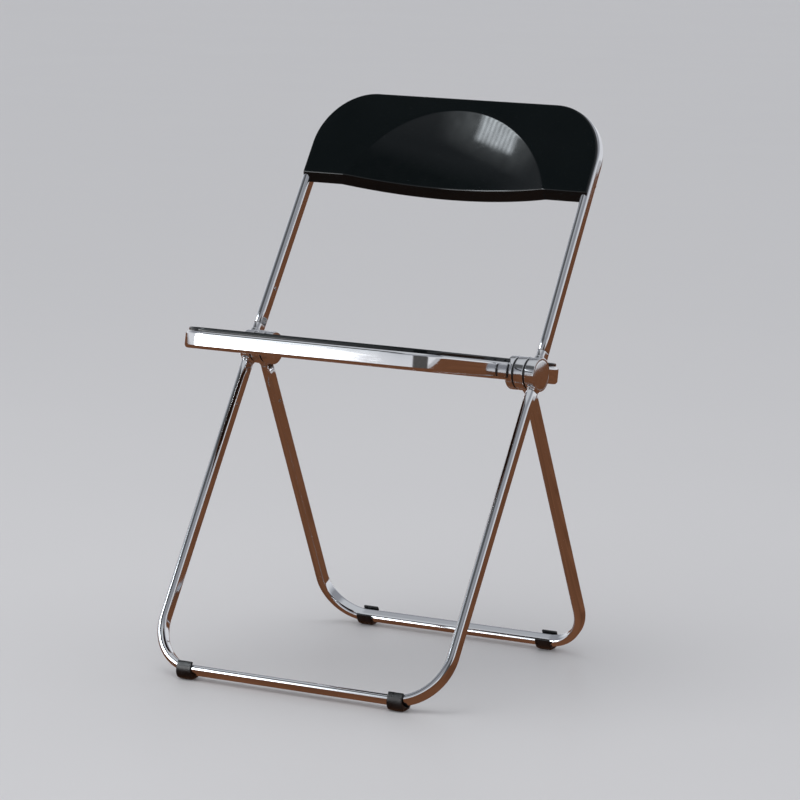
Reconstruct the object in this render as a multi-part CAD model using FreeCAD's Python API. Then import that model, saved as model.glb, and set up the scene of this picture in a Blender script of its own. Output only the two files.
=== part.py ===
import FreeCAD, Part
import math
import os

# Folding chair. Three tubular frames turn on one left-right axis, through a pair of three-disc hubs.
#   front frame: back hoop, front legs and front floor bar in one leaning plane (outer discs)
#   rear legs:   a U of tube that nests inside the front frame when folded (middle discs)
#   seat:        a polished ring with a moulded panel (inner discs)
# Millimetres. +Z is up, -Y is the chair's front, +X is the right-hand side as seen from the front.
# Each frame is drawn in its own plane about the hub axis and then tilted about X.

V = FreeCAD.Vector

# Stance
HUB_HEIGHT = 420.5          # hub axis above the floor
FRONT_LEAN = 31.4           # front frame from vertical, top to the rear (degrees)
REAR_LEAN = 24.6            # rear legs from vertical, foot to the rear (degrees)
SEAT_TILT = 9.9             # seat from level, rear edge lower (degrees)

# Tube: a flat oval with its flats facing into and out of the frame
TUBE_WIDTH = 12.0           # across the flats
TUBE_DEPTH = 21.0           # front to back
TUBE_WALL = 1.5

# Frames, measured on the tube's centreline
FRONT_HALF_WIDTH = 227.5
REAR_HALF_WIDTH = 211.0
HOOP_TOP = 391.2            # hub axis to the top of the back hoop
HOOP_TAPER = 0.9            # each upright leans inwards (degrees)
BAR_HEIGHT = 13.0           # floor bars above the floor
HOOP_BEND = 79.0
FRONT_BEND = 70.0
REAR_BEND = 60.0

# Hubs, measured along X from the middle of the chair
HUB_RADIUS = 23.0
SEAT_DISC = (190.0, 200.4)
MIDDLE_DISC = (203.0, 217.3)
OUTER_DISC = (219.9, 234.5)
WASHER_RADIUS = 20.8
FACE_GAP = 0.05             # a washer's clearance to the disc that turns against it
DISC_EDGE = 1.2             # rounding of the discs' rims
UPPER_NECK = 33.0           # hub axis to the end of the upper tube
LOWER_NECK = 26.0           # hub axis to the end of a leg tube
SPIGOT_END = 98.0           # how far a casting reaches into a tube
SPIGOT_PLAY = 0.1
SPIGOT_ROOT = 13.8          # where an arm starts inside its disc
RIVET_PLACE = 89.0          # hub axis to a tube rivet
RIVET_RADIUS = 2.8
RIVET_HEAD = 0.5            # how far a rivet stands out of the tube
RIVET_LENGTH = 7.0

# Pivot
AXLE_RADIUS = 4.0
RUNNING_PLAY = 0.05
CASTING_PLAY = 0.02         # round the axle in the outer disc, where it doesn't turn
HEAD_RADIUS = 8.0
HEAD_HEIGHT = 4.0
HEAD_EDGE = 1.5
KEY_FLATS = 5.0             # hexagon socket in the head
KEY_DEPTH = 2.5
HEAD_GAP = 0.1              # spring washer to the seat ring
SPRING_WASHER = 1.0
NUT_FLATS = 13.0
NUT_HEIGHT = 5.0
NUT_SEAT = 226.0            # where the nut bears in the outer disc
NUT_POCKET = 8.5            # radius of the room round the nut
CAP_RADIUS = 20.0
CAP_SEAT = 232.6
CAP_CROWN = 1.6             # how far the domed cap stands out
STOP_CIRCLE = 14.0          # stop pin's distance from the hub axis
STOP_RADIUS = 2.5
STOP_PLAY = 0.15
STOP_ANGLE = 190.0          # stop pin's direction, from +Y towards +Z
STOP_SLOT_DEPTH = 5.5       # blind slot in the seat disc
STOP_PIN_TIP = 5.0          # how far the pin reaches into the seat disc
STOP_PIN_HOLD = 8.0         # how far it is pressed into the outer disc

# Seat
SEAT_HALF_WIDTH = 198.0
SEAT_FRONT = 251.0          # hub axis to the front of the ring
SEAT_REAR = 153.0
SEAT_CORNER = 52.0
SEAT_RISE = 1.0             # ring's mid-height above the hub axis
RAIL_HEIGHT = 24.0
RAIL_WIDTH = 11.0
RAIL_EDGE = 4.8             # rounding of the ring's outer edges
LEDGE_WIDTH = 9.0
LEDGE_HEIGHT = 3.0
LEDGE_NOTCH = 12.0          # half the gap in the ledge over an axle's head
PANEL_INSET = 4.0           # panel edge inside the ring's outer face
PANEL_PROUD = 5.0           # panel edge above the ring
PANEL_SKIN = 4.0
PANEL_PLAY = 0.2
PANEL_EDGE = 2.0
PANEL_DIP = 6.0
PANEL_DIP_EDGE = 5.5
PANEL_BORDER = 26.0
DISC_SCREW = (2.2, 4.0, 15.5)           # radius, depth in the disc, distance from the hub axis
PANEL_SCREW = (1.6, 2.8, 3.0, 1.8)      # radius, depth in the panel, head radius and height
PANEL_SCREW_ALONG = (-150.0, 75.0)      # places along the sides
PANEL_SCREW_ACROSS = 90.0               # places along the front and the rear

# Backrest
SHELL_FRONT = 12.7          # front face, forward of the tube's centreline
SHELL_SKIN = 3.5
SHELL_INSET = 1.6           # shell edge inside the tube's outer face
SHELL_BOTTOM = 255.6        # hub axis to the shell's lower edge
SHELL_RIM_BACK = 3.0        # how far back the rim hugs the tube
SHELL_RIM_WIDTH = 19.0
LIP_RISE = 11.5             # chamfer along the lower edge
LIP_DEPTH = 9.0
DISH_RADIUS = 171.0         # the crease round the hollow
DISH_TOP_MARGIN = 18.0      # crease below the shell's top edge
DISH_BALL = 526.0           # the hollow is part of a ball this large
DISH_DEPTH = 40.0           # more than the hollow's depth
SHELL_SCREW = (1.8, 12.0)               # radius, and how far the tip is in front of the tube's centre
SHELL_SCREW_HEAD = (3.6, 2.2, 1.0)      # radius, height and edge
SHELL_SCREW_SUNK = 0.4                  # head in the tube's back
SHELL_SCREW_UP = 32.0                   # low screws above the shell's lower edge
SHELL_SCREW_ACROSS = 95.0               # top screws from the middle

# Feet
FOOT_WIDTH = 23.5
FOOT_WALL = 1.8
FOOT_LIP = 7.6              # lip height above the bar's centreline
FOOT_HOOK = 0.6             # how far each lip grips over the tube
FOOT_FACE = (12.0, -1.5)    # the high side's furthest point, outwards and up from the bar's centre
FOOT_SOLE = (-4.5, 3.0)     # the sole's edges, outwards from the bar's centre
FOOT_BULGE = (1.4, 2.4, 2.4)            # high side above and below its furthest point, and low side
FOOT_END_ROUND = 4.5        # the sole is narrower than the foot
FRONT_FOOT_PLACE = 166.5
REAR_FOOT_PLACE = 147.0

FRONT_TURN = 90.0 - FRONT_LEAN
REAR_TURN = 90.0 + REAR_LEAN
SEAT_TURN = -SEAT_TILT
LEG_FOLD = FRONT_LEAN + REAR_LEAN
SEAT_FOLD = 90.0 - SEAT_TILT + FRONT_LEAN
FRONT_BAR = (HUB_HEIGHT - BAR_HEIGHT) / math.cos(math.radians(FRONT_LEAN))
REAR_BAR = (HUB_HEIGHT - BAR_HEIGHT) / math.cos(math.radians(REAR_LEAN))
X_AXIS = V(1, 0, 0)
HUB_CENTRE = V(0, 0, HUB_HEIGHT)
PAST = 1.0                  # how far a cutting shape runs past the face it opens


def tilt(shape, turn):
    """A copy of a frame-plane shape, turned about X and lifted to the hub axis."""
    copy = shape.copy()
    copy.rotate(V(0, 0, 0), X_AXIS, turn)
    copy.translate(HUB_CENTRE)
    return copy


def mirrored(shape):
    """The left-hand twin of a right-hand piece."""
    return shape.mirror(V(0, 0, 0), X_AXIS)


def both_sides(shape):
    return Part.makeCompound([shape, mirrored(shape)])


def merge(solids):
    whole = solids[0].multiFuse(solids[1:]) if len(solids) > 1 else solids[0]
    return whole.removeSplitter()


def rod(radius, start, end, across=(0.0, 0.0)):
    """A cylinder along X at a place in the frame's plane."""
    return Part.makeCylinder(radius, end - start, V(start, across[0], across[1]), X_AXIS)


def oval_face(point, heading, shrink=0.0):
    """The tube's flat-oval section, square to the heading, which lies in the XY plane."""
    side = V(-heading.y, heading.x, 0)
    half = TUBE_WIDTH / 2 - shrink
    straight = (TUBE_DEPTH - TUBE_WIDTH) / 2
    end = straight + half
    corner = [point + side * a + V(0, 0, b) for a, b in
              ((half, -straight), (half, straight), (-half, straight), (-half, -straight))]
    edges = [
        Part.makeLine(corner[0], corner[1]),
        Part.Arc(corner[1], point + V(0, 0, end), corner[2]).toShape(),
        Part.makeLine(corner[2], corner[3]),
        Part.Arc(corner[3], point - V(0, 0, end), corner[0]).toShape(),
    ]
    return Part.Face(Part.Wire(edges))


def swept_bar(point, heading, moves, shrink=0.0):
    """Straight runs and bends of the oval section, all in the XY plane."""
    solids = []
    for length, radius, angle in moves:
        if radius:
            side = V(-heading.y, heading.x, 0)
            centre = point + side * radius
            solids.append(oval_face(point, heading, shrink).revolve(centre, V(0, 0, 1), angle))
            turn = FreeCAD.Rotation(V(0, 0, 1), angle)
            point = centre + turn.multVec(point - centre)
            heading = turn.multVec(heading)
        else:
            solids.append(oval_face(point, heading, shrink).extrude(heading * length))
            point = point + heading * length
    return merge(solids)


def hoop_bar(half_width, start, top, bend, taper=0.0, shrink=0.0):
    """A solid upward hoop from one upright to the other, bend and taper included."""
    lean = math.radians(taper)
    heading = V(-math.sin(lean), math.cos(lean), 0)
    point = V(half_width, 0, 0) + heading * start
    bend_start = top - bend * (1 - math.sin(lean))
    upright = (bend_start - point.y) / heading.y
    corner_x = point.x + heading.x * upright - bend * math.cos(lean)
    quarter = 90.0 - taper
    moves = [(upright, 0, 0), (0, bend, quarter), (2 * corner_x, 0, 0), (0, bend, quarter),
             (upright, 0, 0)]
    return swept_bar(point, heading, moves, shrink)


def tube_hoop(half_width, start, top, bend, taper=0.0):
    outside = hoop_bar(half_width, start, top, bend, taper)
    return outside, outside.cut(hoop_bar(half_width, start, top, bend, taper, TUBE_WALL))


def upside_down(shape):
    copy = shape.copy()
    copy.rotate(V(0, 0, 0), V(0, 0, 1), 180)
    return copy


def rounded_edges(solid, radius, keep):
    """Rounds the edges that keep() accepts."""
    return solid.makeFillet(radius, [edge for edge in solid.Edges if keep(edge)])


def is_rim(edge, radius, x_place=None):
    """Is this edge a circle of a radius, and at a place along X if one is given?"""
    if not isinstance(edge.Curve, Part.Circle) or abs(edge.Curve.Radius - radius) > 0.01:
        return False
    return x_place is None or abs(edge.BoundBox.XMin - x_place) < 0.01


def disc(faces):
    plain = rod(HUB_RADIUS, faces[0], faces[1])
    return rounded_edges(plain, DISC_EDGE, lambda edge: is_rim(edge, HUB_RADIUS))


def neck_and_spigot(x_place, neck_end, taper=0.0):
    """The arm of a casting: the tube's full section, then a spigot inside the tube."""
    lean = math.radians(taper)
    heading = V(-math.sin(lean), math.cos(lean), 0)
    root = V(x_place, 0, 0) + heading * SPIGOT_ROOT
    neck = oval_face(root, heading).extrude(heading * (neck_end - SPIGOT_ROOT))
    spigot = oval_face(root, heading, TUBE_WALL + SPIGOT_PLAY)
    return [neck, spigot.extrude(heading * (SPIGOT_END - SPIGOT_ROOT))]


def arc_slot(x_start, x_end, first_angle, sweep):
    """Room for the stop pin to travel round the hub axis."""
    radius = STOP_RADIUS + STOP_PLAY
    low, high = STOP_CIRCLE - radius, STOP_CIRCLE + radius
    corners = [V(x_start, low, 0), V(x_end, low, 0), V(x_end, high, 0), V(x_start, high, 0)]
    band = Part.Face(Part.makePolygon(corners + corners[:1]))
    band.rotate(V(0, 0, 0), X_AXIS, first_angle)
    pieces = [band.revolve(V(0, 0, 0), X_AXIS, sweep)]
    for angle in (first_angle, first_angle + sweep):
        place = (STOP_CIRCLE * math.cos(math.radians(angle)), STOP_CIRCLE * math.sin(math.radians(angle)))
        pieces.append(rod(radius, x_start, x_end, place))
    return merge(pieces)


def stop_place(turn):
    """The stop pin's centre in the plane of a frame that is tilted by turn."""
    angle = math.radians(STOP_ANGLE - turn)
    return STOP_CIRCLE * math.cos(angle), STOP_CIRCLE * math.sin(angle)


def rivet(x_face, place):
    """A domed rivet in a tube's inner flat, reaching into the spigot."""
    shank = rod(RIVET_RADIUS, x_face, x_face + RIVET_LENGTH, (place, 0))
    head = rod(RIVET_RADIUS, x_face - RIVET_HEAD, x_face, (place, 0))
    head = rounded_edges(head, RIVET_HEAD * 0.8, lambda edge: is_rim(edge, RIVET_RADIUS, x_face - RIVET_HEAD))
    return merge([shank, head])


def hexagon(x_start, height, flats):
    corner = flats / math.sqrt(3)
    angles = [math.radians(60 * k) for k in range(7)]
    points = [V(x_start, corner * math.cos(angle), corner * math.sin(angle)) for angle in angles]
    return Part.Face(Part.makePolygon(points)).extrude(V(height, 0, 0))


def rounded_outline(half_width, front, rear, corner, low, high):
    """A rounded rectangle between two heights, from -front to +rear along Y."""
    block = Part.makeBox(2 * half_width, front + rear, high - low, V(-half_width, -front, low))
    return rounded_edges(block, corner, lambda edge: edge.BoundBox.ZLength > (high - low) / 2)


def seat_outline(inset, low, high):
    """The seat's rounded rectangle, inset all round, between two heights."""
    return rounded_outline(SEAT_HALF_WIDTH - inset, SEAT_FRONT - inset, SEAT_REAR - inset,
                           SEAT_CORNER - inset, low, high)


def lies_flat_at(edge, height):
    box = edge.BoundBox
    return abs(box.ZMin - height) < 0.01 and abs(box.ZMax - height) < 0.01


# ---------------------------------------------------------------- front frame

def front_frame(nodes):
    hoop_outside, hoop = tube_hoop(FRONT_HALF_WIDTH, UPPER_NECK, HOOP_TOP, HOOP_BEND, HOOP_TAPER)
    legs_outside, legs = tube_hoop(FRONT_HALF_WIDTH, LOWER_NECK, FRONT_BAR, FRONT_BEND)
    legs_outside, legs = upside_down(legs_outside), upside_down(legs)

    inner_flat = FRONT_HALF_WIDTH - TUBE_WIDTH / 2
    taper_shift = RIVET_PLACE * math.tan(math.radians(HOOP_TAPER))
    hoop_rivet = rivet(inner_flat - taper_shift, RIVET_PLACE)
    leg_rivet = rivet(inner_flat, -RIVET_PLACE)

    arms = neck_and_spigot(FRONT_HALF_WIDTH, UPPER_NECK, HOOP_TAPER)
    lower = [mirrored(upside_down(piece)) for piece in neck_and_spigot(FRONT_HALF_WIDTH, LOWER_NECK)]
    outer_disc = merge([disc(OUTER_DISC)] + arms + lower)
    nut_pocket = rod(NUT_POCKET, NUT_SEAT, OUTER_DISC[1] + PAST)
    cap_recess = rod(CAP_RADIUS, CAP_SEAT, OUTER_DISC[1] + PAST)
    pin_ends = (SEAT_DISC[1] - STOP_PIN_TIP, OUTER_DISC[0] + STOP_PIN_HOLD)
    stop_pin = rod(STOP_RADIUS, *pin_ends, stop_place(FRONT_TURN))
    axle_bore = rod(AXLE_RADIUS + CASTING_PLAY, OUTER_DISC[0] - PAST, NUT_SEAT + PAST)
    outer_disc = outer_disc.cut([nut_pocket, cap_recess, stop_pin, axle_bore, hoop_rivet, leg_rivet])

    ball = (CAP_RADIUS ** 2 + CAP_CROWN ** 2) / (2 * CAP_CROWN)
    crown = Part.makeSphere(ball, V(OUTER_DISC[1] + CAP_CROWN - ball, 0, 0))
    cap = rod(CAP_RADIUS, CAP_SEAT, OUTER_DISC[1] + CAP_CROWN).common(crown)

    washer_face = SEAT_HALF_WIDTH - RAIL_WIDTH - HEAD_GAP
    head_face = washer_face - SPRING_WASHER
    head_top = head_face - HEAD_HEIGHT
    shaft = rod(AXLE_RADIUS, head_top + KEY_DEPTH, NUT_SEAT + NUT_HEIGHT)
    head = rod(HEAD_RADIUS, head_top, head_face)
    head = rounded_edges(head, HEAD_EDGE, lambda edge: is_rim(edge, HEAD_RADIUS, head_top))
    axle = merge([shaft, head]).cut(hexagon(head_top - PAST, KEY_DEPTH + PAST, KEY_FLATS))
    bore = rod(AXLE_RADIUS, head_face, NUT_SEAT + NUT_HEIGHT)
    spring_washer = rod(HEAD_RADIUS - SPRING_WASHER / 2, head_face, washer_face).cut(bore)
    nut = hexagon(NUT_SEAT, NUT_HEIGHT, NUT_FLATS).cut(bore)

    washer_side = MIDDLE_DISC[1] + FACE_GAP
    washer = rod(WASHER_RADIUS, washer_side, OUTER_DISC[0])
    washer = washer.cut([rod(AXLE_RADIUS + RUNNING_PLAY, washer_side, OUTER_DISC[0]), stop_pin])

    shell = backrest_shell(hoop_outside)
    screws = backrest_screws()
    hoop = hoop.cut([both_sides(hoop_rivet)] + screws)
    shell = shell.cut(screws)

    nodes["back_hoop"] = tilt(hoop, FRONT_TURN)
    nodes["front_leg_hoop"] = tilt(legs.cut(both_sides(leg_rivet)), FRONT_TURN)
    nodes["back_hoop_rivets"] = tilt(both_sides(hoop_rivet), FRONT_TURN)
    nodes["front_leg_rivets"] = tilt(both_sides(leg_rivet), FRONT_TURN)
    nodes["backrest_shell"] = tilt(shell, FRONT_TURN)
    nodes["backrest_screws"] = tilt(Part.makeCompound(screws), FRONT_TURN)
    pieces = {"hub_outer_disc": outer_disc, "hub_cap": cap, "hub_axle": axle, "axle_nut": nut,
              "axle_spring_washer": spring_washer, "fold_stop_pin": stop_pin, "outer_hub_washer": washer,
              "front_foot": foot(legs_outside, -FRONT_BAR, FRONT_LEAN, FRONT_TURN, FRONT_FOOT_PLACE)}
    add_pairs(nodes, pieces, FRONT_TURN)


def backrest_shell(hoop_outside):
    """A moulded shell that hugs the hoop's front and dips into a ball-shaped hollow."""
    lean = math.radians(HOOP_TAPER)
    edge = TUBE_WIDTH / 2 - SHELL_INSET

    def outline(inset, low, high):
        reach = edge - inset
        bend = HOOP_BEND + reach
        bottom = SHELL_BOTTOM + inset
        bend_start = HOOP_TOP - HOOP_BEND * (1 - math.sin(lean))
        side_x = FRONT_HALF_WIDTH - bend_start * math.tan(lean)
        centre = V(side_x - HOOP_BEND * math.cos(lean), bend_start - HOOP_BEND * math.sin(lean), low)
        start = centre + V(math.cos(lean), math.sin(lean), 0) * bend
        half = math.radians(45 + HOOP_TAPER / 2)
        middle = centre + V(math.cos(half), math.sin(half), 0) * bend
        end = centre + V(0, bend, 0)
        corner = V(start.x + (start.y - bottom) * math.tan(lean), bottom, low)
        right = [Part.makeLine(corner, start), Part.Arc(start, middle, end).toShape()]
        left = [mirrored(edge) for edge in right]
        across = [Part.makeLine(V(-point.x, point.y, low), point) for point in (corner, end)]
        edges = Part.__sortEdges__(right + left + across)
        return Part.Face(Part.Wire(edges)).extrude(V(0, 0, high - low))

    back = SHELL_FRONT - SHELL_SKIN
    rim = outline(0, SHELL_RIM_BACK, SHELL_FRONT).cut(outline(SHELL_RIM_WIDTH, SHELL_RIM_BACK, back))
    crease_y = HOOP_TOP + edge - DISH_TOP_MARGIN - DISH_RADIUS
    ball_z = SHELL_FRONT + math.sqrt(DISH_BALL ** 2 - DISH_RADIUS ** 2)
    hollow = Part.makeSphere(DISH_BALL, V(0, crease_y, ball_z))
    bowl = Part.makeSphere(DISH_BALL + SHELL_SKIN, V(0, crease_y, ball_z))
    bowl = bowl.common(outline(0, back - DISH_DEPTH, SHELL_FRONT))
    reach = FRONT_HALF_WIDTH + TUBE_WIDTH
    lip_top = SHELL_BOTTOM + LIP_RISE
    wedge = [V(-reach, lip_top, SHELL_FRONT), V(-reach, SHELL_BOTTOM, SHELL_FRONT - LIP_DEPTH),
             V(-reach, SHELL_BOTTOM - PAST, SHELL_FRONT + PAST), V(-reach, lip_top, SHELL_FRONT + PAST)]
    chamfer = Part.Face(Part.makePolygon(wedge + wedge[:1])).extrude(V(2 * reach, 0, 0))
    return rim.fuse(bowl).cut([hollow, chamfer, hoop_outside]).removeSplitter()


def backrest_screws():
    """Pan-head screws from behind the hoop: two low on the uprights, two along the top."""
    radius, depth = SHELL_SCREW
    head_radius, head_height, head_edge = SHELL_SCREW_HEAD
    tube_back = -TUBE_DEPTH / 2
    head_back = tube_back - head_height + SHELL_SCREW_SUNK
    low = SHELL_BOTTOM + SHELL_SCREW_UP
    side_x = FRONT_HALF_WIDTH - low * math.tan(math.radians(HOOP_TAPER))
    screws = []
    for x_place, y_place in ((side_x, low), (SHELL_SCREW_ACROSS, HOOP_TOP)):
        shank = Part.makeCylinder(radius, depth - tube_back, V(x_place, y_place, tube_back))
        head = Part.makeCylinder(head_radius, head_height, V(x_place, y_place, head_back))
        head = rounded_edges(head, head_edge, lambda edge: lies_flat_at(edge, head_back))
        screw = merge([shank, head])
        screws += [screw, mirrored(screw)]
    return screws


def bulged(start, end, bulge):
    """An arc in the YZ plane whose middle stands out from its chord, away from the axis."""
    chord = end - start
    middle = (start + end) * 0.5
    outwards = V(0, -chord.z, chord.y).normalize()
    if outwards.dot(middle) < 0:
        outwards = outwards * -1
    return Part.Arc(start, middle + outwards * bulge, end).toShape()


def foot(bar, bar_place, lean, turn, x_place):
    """A clip-on foot with a level sole. Its high side faces outwards: forward if lean is positive."""
    slope = math.radians(abs(lean))
    forward = -1 if lean > 0 else 1

    def spot(outwards, up):
        return V(0, forward * outwards, up)

    def lip(reach):
        return spot(reach * math.cos(slope) - FOOT_LIP * math.sin(slope),
                    FOOT_LIP * math.cos(slope) + reach * math.sin(slope))

    side = TUBE_DEPTH / 2 + FOOT_WALL
    high, low = lip(side), lip(-side)
    face, toe, heel = spot(*FOOT_FACE), spot(FOOT_SOLE[1], -BAR_HEIGHT), spot(FOOT_SOLE[0], -BAR_HEIGHT)
    edges = [bulged(high, face, FOOT_BULGE[0]), bulged(face, toe, FOOT_BULGE[1]), Part.makeLine(toe, heel),
             bulged(heel, low, FOOT_BULGE[2]), Part.makeLine(low, high)]
    block = Part.Face(Part.Wire(edges)).extrude(V(FOOT_WIDTH, 0, 0))
    room = 2 * FOOT_WIDTH
    ends = Part.makeBox(FOOT_WIDTH, room, room, V(0, -room / 2, -BAR_HEIGHT))
    ends = rounded_edges(ends, FOOT_END_ROUND,
                         lambda edge: lies_flat_at(edge, -BAR_HEIGHT) and edge.BoundBox.YLength > FOOT_WIDTH)
    block = block.common(ends)
    block.rotate(V(0, 0, 0), X_AXIS, -turn)
    block.translate(V(x_place - FOOT_WIDTH / 2, bar_place, 0))
    grip = TUBE_DEPTH / 2 - FOOT_HOOK
    mouth_corner = V(x_place - FOOT_WIDTH / 2 - PAST, bar_place, -grip)
    mouth = Part.makeBox(FOOT_WIDTH + 2 * PAST, room, 2 * grip, mouth_corner)
    return block.cut([bar, mouth])


# ---------------------------------------------------------------- rear legs

def rear_legs(nodes):
    outside, legs = tube_hoop(REAR_HALF_WIDTH, LOWER_NECK, REAR_BAR, REAR_BEND)
    outside, legs = upside_down(outside), upside_down(legs)
    leg_rivet = rivet(REAR_HALF_WIDTH - TUBE_WIDTH / 2, -RIVET_PLACE)

    arms = [mirrored(upside_down(piece)) for piece in neck_and_spigot(REAR_HALF_WIDTH, LOWER_NECK)]
    middle_disc = merge([disc(MIDDLE_DISC)] + arms)
    slot = arc_slot(SEAT_DISC[1], MIDDLE_DISC[1] + PAST, STOP_ANGLE - REAR_TURN, LEG_FOLD)
    bore = rod(AXLE_RADIUS + RUNNING_PLAY, SEAT_DISC[1], MIDDLE_DISC[1] + PAST)
    middle_disc = middle_disc.cut([slot, bore, leg_rivet])
    washer = rod(WASHER_RADIUS, SEAT_DISC[1] + FACE_GAP, MIDDLE_DISC[0]).cut([slot, bore])

    nodes["rear_leg_hoop"] = tilt(legs.cut(both_sides(leg_rivet)), REAR_TURN)
    nodes["rear_leg_rivets"] = tilt(both_sides(leg_rivet), REAR_TURN)
    pieces = {"hub_middle_disc": middle_disc, "inner_hub_washer": washer,
              "rear_foot": foot(outside, -REAR_BAR, -REAR_LEAN, REAR_TURN, REAR_FOOT_PLACE)}
    add_pairs(nodes, pieces, REAR_TURN)


# ---------------------------------------------------------------- seat

def seat(nodes):
    low, high = SEAT_RISE - RAIL_HEIGHT / 2, SEAT_RISE + RAIL_HEIGHT / 2
    ledge_top = high - PANEL_SKIN
    blank = seat_outline(0, low, high)
    blank = rounded_edges(blank, RAIL_EDGE, lambda edge: lies_flat_at(edge, low) or lies_flat_at(edge, high))
    rail_inside = SEAT_HALF_WIDTH - RAIL_WIDTH
    ledge_base = ledge_top - LEDGE_HEIGHT
    head_room = Part.makeBox(LEDGE_WIDTH + PAST, 2 * LEDGE_NOTCH, LEDGE_HEIGHT + PAST,
                             V(rail_inside - LEDGE_WIDTH - PAST, -LEDGE_NOTCH, ledge_base - PAST))
    ring = blank.cut([seat_outline(RAIL_WIDTH, ledge_top, high + PAST),
                      seat_outline(RAIL_WIDTH + LEDGE_WIDTH, low - PAST, high + PAST),
                      seat_outline(RAIL_WIDTH, low - PAST, ledge_base)])
    pocket = rod(HUB_RADIUS, SEAT_DISC[0], SEAT_DISC[1])
    bore = rod(AXLE_RADIUS + RUNNING_PLAY, rail_inside - PAST, SEAT_DISC[1] + PAST)

    slot = arc_slot(SEAT_DISC[1] - STOP_SLOT_DEPTH, SEAT_DISC[1] + PAST, STOP_ANGLE - SEAT_TURN, SEAT_FOLD)
    radius, depth, distance = DISC_SCREW
    tip = SEAT_DISC[0] + depth
    disc_screws = [rod(radius, rail_inside, tip, (place, 0)) for place in (-distance, distance)]
    inner_disc = disc(SEAT_DISC).cut([slot, bore] + disc_screws)
    ring = ring.cut([both_sides(piece) for piece in [head_room, pocket, bore] + disc_screws])

    top = high + PANEL_PROUD
    flange = seat_outline(PANEL_INSET, high, top)
    flange = rounded_edges(flange, PANEL_EDGE, lambda edge: lies_flat_at(edge, top))
    tray = seat_outline(RAIL_WIDTH + PANEL_PLAY, ledge_top, high)
    dip = seat_outline(PANEL_BORDER, top - PANEL_DIP, top + PANEL_DIP)
    dip = rounded_edges(dip, PANEL_DIP_EDGE, lambda edge: lies_flat_at(edge, top - PANEL_DIP))
    floor = seat_outline(PANEL_BORDER - PANEL_SKIN, top - PANEL_DIP - PANEL_SKIN, high)
    panel = merge([flange, tray, floor]).cut([dip] + [both_sides(pocket)])

    fixings = []
    radius, depth, head_radius, head_height = PANEL_SCREW
    head_place = RAIL_WIDTH + head_radius + PAST
    places = [(SEAT_HALF_WIDTH - head_place, along) for along in PANEL_SCREW_ALONG]
    places += [(PANEL_SCREW_ACROSS, -SEAT_FRONT + head_place), (PANEL_SCREW_ACROSS, SEAT_REAR - head_place)]
    for x_place, y_place in places:
        shank = Part.makeCylinder(radius, LEDGE_HEIGHT + depth, V(x_place, y_place, ledge_base))
        head = Part.makeCylinder(head_radius, head_height, V(x_place, y_place, ledge_base - head_height))
        fixings.append(both_sides(merge([shank, head])))

    nodes["seat_frame"] = tilt(ring.cut(fixings), SEAT_TURN)
    nodes["seat_panel"] = tilt(panel.cut(fixings), SEAT_TURN)
    nodes["seat_panel_screws"] = tilt(Part.makeCompound(fixings), SEAT_TURN)
    nodes["hub_inner_disc_screws"] = tilt(both_sides(Part.makeCompound(disc_screws)), SEAT_TURN)
    add_pairs(nodes, {"hub_inner_disc": inner_disc}, SEAT_TURN)


def add_pairs(nodes, pieces, turn):
    """Adds the right-hand piece and its left-hand twin as two nodes."""
    for name, shape in pieces.items():
        nodes[name + "_r"] = tilt(shape, turn)
        nodes[name + "_l"] = tilt(mirrored(shape), turn)


def main():
    nodes = {}
    front_frame(nodes)
    rear_legs(nodes)
    seat(nodes)
    whole = Part.makeCompound(list(nodes.values())).optimalBoundingBox(False, False)
    to_centre = V(0, -(whole.YMin + whole.YMax) / 2, 0)
    os.makedirs("parts", exist_ok=True)
    for name, shape in nodes.items():
        shape.translate(to_centre)
        shape.exportStep("parts/" + name + ".step")
        state = "valid" if shape.isValid() else "INVALID"
        print(name, len(shape.Solids), state, round(shape.Volume / 1000, 2), "cm3")
    print("hub axis y", round(to_centre.y, 3), "z", HUB_HEIGHT, "height", round(whole.ZMax, 2))
    print("depth", round(whole.YLength, 2), "width", round(whole.XLength, 2), "lowest", round(whole.ZMin, 3))
    print("folds", LEG_FOLD, SEAT_FOLD)


main()
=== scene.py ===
import math

import bmesh
import bpy
import numpy as np
from mathutils import Matrix, Vector


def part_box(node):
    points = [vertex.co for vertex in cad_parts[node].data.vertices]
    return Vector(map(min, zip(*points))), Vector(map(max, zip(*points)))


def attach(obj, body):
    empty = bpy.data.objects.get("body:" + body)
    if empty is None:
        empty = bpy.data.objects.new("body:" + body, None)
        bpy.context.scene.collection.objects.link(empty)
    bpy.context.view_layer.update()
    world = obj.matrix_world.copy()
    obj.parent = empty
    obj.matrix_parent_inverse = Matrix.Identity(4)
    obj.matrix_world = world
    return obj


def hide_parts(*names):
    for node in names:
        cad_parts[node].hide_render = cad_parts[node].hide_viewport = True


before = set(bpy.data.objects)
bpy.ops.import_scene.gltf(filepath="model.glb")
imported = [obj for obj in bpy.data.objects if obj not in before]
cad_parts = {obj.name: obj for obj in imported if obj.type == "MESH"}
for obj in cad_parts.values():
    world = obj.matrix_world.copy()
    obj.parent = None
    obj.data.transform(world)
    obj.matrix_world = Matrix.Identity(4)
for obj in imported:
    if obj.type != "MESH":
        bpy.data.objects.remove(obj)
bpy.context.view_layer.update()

# The looks of a folding chair, built round its CAD frame. Each frame of the chair is drawn in its own
# plane, in millimetres: X across, S up along the frame from the hub axis, N out of its front.

MM = 0.001

# Stance, in degrees
FRONT_LEAN, REAR_LEAN, SEAT_TILT = 31.4, 24.6, 9.9

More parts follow.
